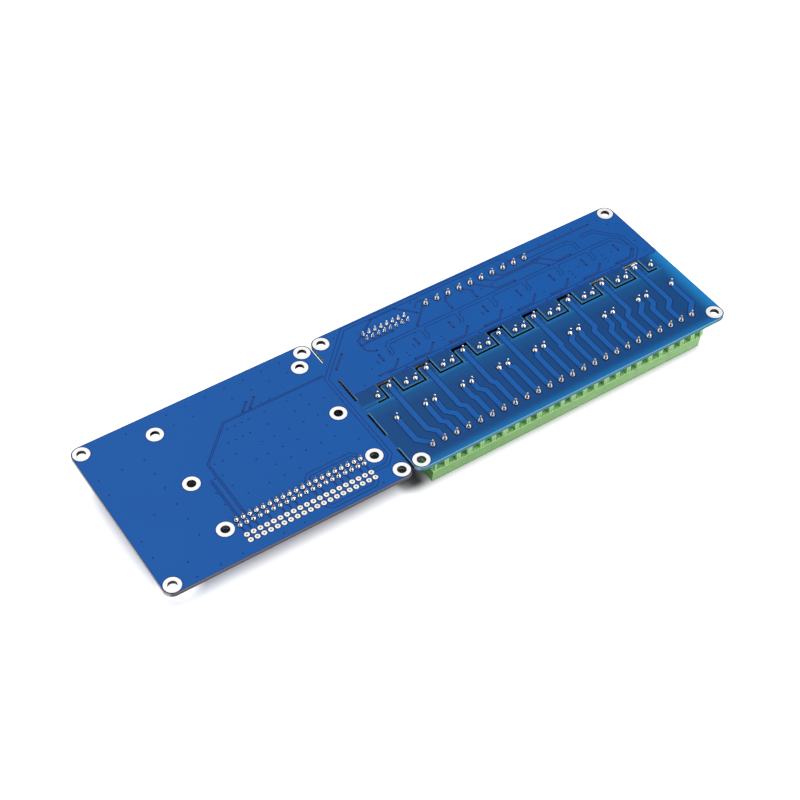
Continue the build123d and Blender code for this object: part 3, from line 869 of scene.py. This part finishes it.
pairRoutes = [   # narrow tracks: their two gaps lie close together
    [(8.7, 2), (8.7, 27.3), (22.3, 40.9), (63, 40.9)],
    [(6.1, 2), (6.1, 20.7)],
]
trackRoutes = [   # wider tracks: a gap shows on each side
    [(52.6, -5.5), (59.7, -5.5), (62.95, -2.2), (62.95, 38.9), (80.75, 56.7), (151, 56.7)],
    [(82.9, 28.65), (194.0, 28.65), (197.8, 32.3), (197.4, 41.1), (189.6, 49.35), (184.8, 49.35)],
    [(32.7, 2.6), (34.7, 4.95), (51.3, 4.95), (53.2, 3.0)],
    [(32.6, -9.0), (34.7, -11.05), (51.2, -11.05), (53.2, -9.0)],
    [(160.0, 49.7), (177.6, 49.7), (179.4, 48.0), (179.3, 43.8)],
]
strokes = [   # dark strokes where two gaps nearly touch
    [(30.6, 41.9), (33.7, 45.0)], [(33.5, 41.9), (37.2, 45.6)],
    [(68.3, 41.0), (74.0, 46.4)],
    [(82.3, 46.2), (95.8, 46.2)],
    [(92.3, 55.4), (82.3, 48.6), (82.3, 43.4), (84.5, 41.3), (85.6, 41.1)],
    [(102.6, 55.4), (108.6, 49.2)], [(112.6, 51.4), (105.0, 43.8)],
    [(121.8, 50.2), (120.7, 48.6), (120.7, 44.2)], [(129.6, 50.4), (131.8, 48.4), (131.8, 44.2)],
    [(134.4, 50.4), (141.0, 43.6), (148.6, 43.6)],
    [(139.2, 50.4), (142.4, 47.4), (160.6, 47.4), (164.4, 43.4)],
    [(144.4, 50.4), (146.6, 48.2), (163.8, 48.2), (168.6, 43.5), (174.8, 43.5)],
    [(150.4, 51.6), (151.8, 53.3), (190.6, 53.3)],
]
lines = [
    [(89.2, 37.4), (89.2, 41.0), (91.1, 42.8), (193.0, 42.8), (196.2, 39.7), (196.6, 36.3),
     (195.2, 36.3), (194.9, 38.9), (192.5, 41.3), (182.9, 41.3)],
    [(184.8, 48.6), (184.2, 49.35), (184.8, 50.1)],
    [(92.3, 55.4), (102.6, 55.4)], [(108.8, 51.6), (111.2, 53.8), (115.6, 53.8), (117.4, 52.2)],
    [(66.9, 27.2), (202.9, 27.2)],
]
viaRows = {
    54.8: (-8.2, 7.4, 15.1, 22.8, 30.5, 38.2, 45.6, 53, 75.8, 109.2, 168.1, 175.9, 183.6, 191.8),
    49.2: (7.4, 15.1, 30.5, 38.2, 45.6, 53, 128.3, 197.2), 47.6: (132.4, 162.2, 200.2),
    53.1: (195,), 42.0: (38, 41.4), 41.0: (-25.4, -16.6, -8.2, 93.2, 102.2), 46.6: (135.7, 140.3),
    37.6: (22, 25, 27.8, 30.5, 37, 45.8, 51.6),
    36.3: (82.7, 98.2, 128.6, 168.9, 173.2, 184.5, 188.9, 200.3),
    35.3: (82.7, 98.2, 128.6), 34.4: (79.3, 94.2, 108.9, 168.9, 184.5),
    33.5: (-25.3, -8.2), 32.6: (94.2, 108.9, 139.2, 154.2, 168.9, 184.5),
    32.0: (19.3, 22.1, 25, 27.9, 35.1, 45.8, 51.6, 57.5), 29.9: (200.1,), 29.1: (72.7,),
    28.4: (90.2, 98.9, 106.8, 113.8, 121.8, 137.1, 143.8, 152.4, 159.1, 166.8, 174.2, 182.6, 187.4),
    26.2: (-8.2, 10.7, 13.7, 19.1, 29.3, 34, 40, 45.8, 51.6),
    20.5: (7.6, 10.5, 23.6, 28.1, 34, 39.9, 51.6), 18.0: (-16.6, -8.2),
    14.8: (5, 11.1, 28.1, 34, 39.9, 45.8, 51.6), 10.4: (-25.3, -8.2),
    9.2: (5, 14, 22.1, 28, 34, 45.8, 57.5), 2.7: (-25.3, -8.2), -4.9: (-16.6,),
    -11.7: (-16.9, -8.2, 0, 15.4, 23.2, 54.2),
}


def onPanel(u, v):
    return u + panel["datum"][0], v + panel["datum"][1]


# routes drawn as flat strips with rounded ends, from one curve
def flatLines(name, routes, width, kind):
    curve = bpy.data.curves.new(name, "CURVE")
    curve.dimensions = "3D"
    curve.bevel_depth = width / 2 * mm
    curve.bevel_resolution = 1
    curve.use_fill_caps = True
    for route in routes:
        spline = curve.splines.new("POLY")
        spline.points.add(len(route) - 1)
        for point, (u, v) in zip(spline.points, route):
            x, y = onPanel(u, v)
            point.co = (x * mm, y * mm, 0, 1)
    holder = bpy.data.objects.new(name, curve)
    mesh = bpy.data.meshes.new_from_object(holder)
    bpy.data.objects.remove(holder)
    shape = bmesh.new()
    shape.from_mesh(mesh)
    flatten = Matrix.Translation((0, 0, panel["top"] * mm)) @ Matrix.Diagonal(
        (1, 1, 2 * copper["rise"] / width, 1))
    bmesh.ops.transform(shape, matrix=flatten, verts=shape.verts)
    bmesh.ops.bisect_plane(shape, geom=shape.verts[:] + shape.edges[:] + shape.faces[:],
                           plane_co=(0, 0, panel["top"] * mm), plane_no=(0, 0, 1),
                           clear_inner=True)
    addPiece(name, shape, kind)


# the route moved sideways, with its corners mitred
def offsetRoute(route, distance):
    points = [Vector(p) for p in route]
    ways = [(b - a).normalized() for a, b in zip(points, points[1:])]
    moved = []
    for n, point in enumerate(points):
        before, after = ways[max(n - 1, 0)], ways[min(n, len(ways) - 1)]
        normal = Vector((-(before + after).y, (before + after).x)).normalized()
        stretch = 1 / max(0.5, normal.dot(Vector((-after.y, after.x))))
        moved.append(tuple(point + normal * distance * stretch))
    return moved


# the gaps on both sides of each track
def sideGaps(routes, distance):
    return [offsetRoute(route, side * distance) for route in routes for side in (-1, 1)]


# the route moved along to another relay's cell
def inCell(route, cell):
    return [(u + cell * copper["cellPitch"], v) for u, v in route]


def addCopperGaps():
    thin = lines + sideGaps(trackRoutes, copper["track"])
    thick = list(strokes)
    for cell in range(copper["cells"]):
        thick += [inCell(route, cell) for route in cellStrokes]
        if cell < copper["cells"] - 1:
            last = cell == copper["cells"] - 2
            thin.append(inCell(cellHook if last else cellHook + hookTail, cell))
    bridges = [[(copper["bridgeFirst"] + n * headerPitch, v)
                for v in copper["bridgeEnds"]] for n in copper["bridges"]]
    flatLines("copperGaps", thin, copper["thin"], "gap")
    flatLines("narrowGaps", sideGaps(pairRoutes, copper["narrow"]), copper["fine"], "via")
    flatLines("copperStrokes", thick, copper["wide"], "stroke")
    flatLines("headerBridges", bridges, copper["band"], "gap")
    ends = [onPanel(*route[n]) for route in thick for n in (0, -1)]
    vias = [onPanel(u, v) for v, us in viaRows.items() for u in us]
    for name, radius, spots, kind in (("strokeEnds", copper["dotRadius"], ends, "dot"),
                                      ("viaDots", copper["viaRadius"], vias, "via")):
        dot = turned([(radius * r, h) for r, h in copper["dome"]], copper["dotSteps"])
        addPiece(name, copies(dot, spots, panel["top"]), kind)


addCopperGaps()
print("copper gaps and vias")


# Component side: relays and screws, with heights from the floor, and the small parts that
# hang from the panel, with heights below 0.

# box with rounded edges; its size and middle are in millimetres
def softBox(shape, size, middle, rounding, segments=2):
    corners = bmesh.ops.create_cube(shape, size=1.0)["verts"]
    bmesh.ops.scale(shape, vec=[s * mm for s in size], verts=corners)
    bmesh.ops.translate(shape, vec=[c * mm for c in middle], verts=corners)
    edges = list({edge for corner in corners for edge in corner.link_edges})
    bmesh.ops.bevel(shape, geom=edges, offset=rounding * mm, segments=segments, affect="EDGES",
                    profile=0.5, material=-1)


# press the lowest flat face in, leaving a rim
def sinkFace(shape, rim, depth):
    lowest = min(shape.faces, key=lambda f: (round(f.calc_center_median().z, 6), -f.calc_area()))
    bmesh.ops.inset_region(shape, faces=[lowest], thickness=rim * mm, depth=-depth * mm,
                           use_even_offset=True)


def disc(shape, radius, thickness, middle):
    place = Matrix.Translation([c * mm for c in middle])
    bmesh.ops.create_cone(shape, cap_ends=True, segments=24, radius1=radius * mm,
                          radius2=radius * mm, depth=thickness * mm, matrix=place)


relay = {
    "case": (15.4, 19.2, 14.8), "rounding": 0.55, "rim": 1.3, "recess": 0.22, "middleY": -5.05,
    "base": (14.9, 18.7, 1.0), "baseMiddle": (0, 0, 15.0), "edge": 0.12,
    "pip": (0.9, 0.3, (-5.2, -7.2, 0.2)),                        # radius, thickness, middle
    "rib": (10.4, 0.3, 0.9), "ribY": 9.46, "ribZ": 13.2, "ribEdge": 0.1,   # on both ends
}


def addRelays():
    shape = bmesh.new()
    softBox(shape, relay["case"], (0, 0, relay["case"][2] / 2), relay["rounding"], 4)
    sinkFace(shape, relay["rim"], relay["recess"])
    softBox(shape, relay["base"], relay["baseMiddle"], relay["edge"], 1)
    disc(shape, *relay["pip"])
    for side in (-1, 1):
        softBox(shape, relay["rib"], (0, side * relay["ribY"], relay["ribZ"]), relay["ribEdge"],
                1)
    case = asPattern(shape)
    for n, x in enumerate(relayXs):
        addPiece(f"relayCase{n + 1}", copies(case, [(x, relay["middleY"])], 0.0), "relay",
                 [f"relay_{n + 1}"])


screw = {
    "head": [(0.0, 3.5), (1.53, 3.5), (1.69, 3.57), (1.75, 3.75), (1.75, 4.9), (0.0, 4.9)],
    "steps": 28, "sharp": 30,
    "slotWidth": 0.55, "slotFloor": 4.1, "slotFaces": 3.7,   # only faces below this are cut
}


def addScrews():
    shape = bmesh.new()
    shape.from_mesh(turned(screw["head"], screw["steps"]))
    half = screw["slotWidth"] / 2 * mm
    for side in (-1, 1):
        bmesh.ops.bisect_plane(shape, geom=shape.verts[:] + shape.edges[:] + shape.faces[:],
                               plane_co=(0, side * half, 0), plane_no=(0, 1, 0))
    cut = [f for f in shape.faces if f.calc_center_median().z < screw["slotFaces"] * mm
           and f.normal.z < -0.3 and abs(f.calc_center_median().y) < half]
    moved = bmesh.ops.extrude_face_region(shape, geom=cut)["geom"]
    bmesh.ops.delete(shape, geom=cut, context="FACES")
    for corner in moved:
        if isinstance(corner, bmesh.types.BMVert):
            corner.co.z = screw["slotFloor"] * mm
    bmesh.ops.recalc_face_normals(shape, faces=shape.faces)
    head = asPattern(shape)
    for which, spots in (("relay", terminalSpots), ("input", inputSpots)):
        addPiece(which + "TerminalScrews", copies(head, spots, 0.0), "screw",
                 [f"{which}_terminal_screws"], screw["sharp"])


# (size, middle) of each metal end or leg
resistorEnds = [((0.38, 1.29, 0.52), (x, 0, -0.25)) for x in (-0.82, 0.82)]
lampEnds = [((0.38, 1.29, 0.82), (x, 0, -0.4)) for x in (-0.82, 0.82)]
diodeLegs = ([((0.9, 1.5, 0.2), (x, 0, -0.1)) for x in (-2.45, 2.45)]
             + [((0.2, 1.5, 1.0), (x, 0, -0.5)) for x in (-2.17, 2.17)])
transistorLegs = ([((0.42, 0.7, 0.14), (x, y * 0.95, -0.07))
                   for x, y in ((-0.95, -1), (0.95, -1), (0, 1))]
                  + [((0.42, 0.14, 0.6), (x, y * 0.68, -0.3))
                     for x, y in ((-0.95, -1), (0.95, -1), (0, 1))])

smallParts = {
    # CAD node, shift along X, size, rounding, finish, slot, ends, and the gap over the body
    "opticalCouplers": ("couplers", 0, (4.6, 6.5, 3.5), 0.3, "whiteChip", "white_chip", (), 0.25),
    "diodeBodies": ("flyback_diodes", 0, (4.3, 2.6, 2.1), 0.2, "blackChip", "black_chip",
                    diodeLegs, 0),
    "transistorBodies": ("transistors", -4.2, (2.9, 1.3, 1.1), 0.12, "blackChip", "black_chip",
                         transistorLegs, 0),
    "inputResistorBodies": ("input_resistors", -4.2, (2.0, 1.25, 0.5), 0.08, "blackChip",
                            "black_chip", resistorEnds, 0),
    "lampResistorBodies": ("lamp_resistors", 4.2, (2.0, 1.25, 0.5), 0.08, "blackChip",
                           "black_chip", resistorEnds, 0),
    "lampBodies": ("status_lamps", 4.2, (2.0, 1.25, 0.8), 0.08, "lamp", "lamp_lens", lampEnds,
                   0),
}
couplerDot = (0.4, 0.04, (-1.5, -2.4, -3.5))      # radius, thickness, middle
jumperCap = {"size": (2.34, 4.88, 5.6), "rounding": 0.28, "rim": 0.62, "recess": 3.6,
             "top": 12.9, "row": (-1.99, 26.75, 8, headerPitch)}


# one spot for each relay, in line with the CAD node
def rowOf(node, shift=0.0):
    low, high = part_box(node)
    return [(x + shift, (low[1] + high[1]) / 2 / mm) for x in relayXs]


# bodies that hang from the panel, each with its ends or legs as a second piece
def addSmallParts():
    for name, look in smallParts.items():
        node, shift, (length, width, height), rounding, kind, slot, ends, lift = look
        spots = rowOf(node, shift)
        body = bmesh.new()
        softBox(body, (length, width, height - lift), (0, 0, -(height + lift) / 2), rounding)
        addPiece(name, copies(asPattern(body), spots, panel["bottom"]), kind, [node])
        if ends:
            metal = bmesh.new()
            for size, middle in ends:
                softBox(metal, size, middle, 0.04, 1)
            addPiece(name + "Ends", copies(asPattern(metal), spots, panel["bottom"]), "lead",
                     [node])
        if node == "couplers":
            dot = bmesh.new()
            disc(dot, *couplerDot)
            addPiece("couplerDots", copies(asPattern(dot), spots, panel["bottom"]), "blackChip")


def addJumperCaps():
    size = jumperCap["size"]
    cap = bmesh.new()
    softBox(cap, size, (0, 0, -size[2] / 2), jumperCap["rounding"], 3)
    sinkFace(cap, jumperCap["rim"], jumperCap["recess"])
    addPiece("jumperCaps", copies(asPattern(cap), row(*jumperCap["row"]), jumperCap["top"]),
             "yellow", ["jumper_caps"])


addRelays()
addScrews()
addSmallParts()
addJumperCaps()
print("component side")
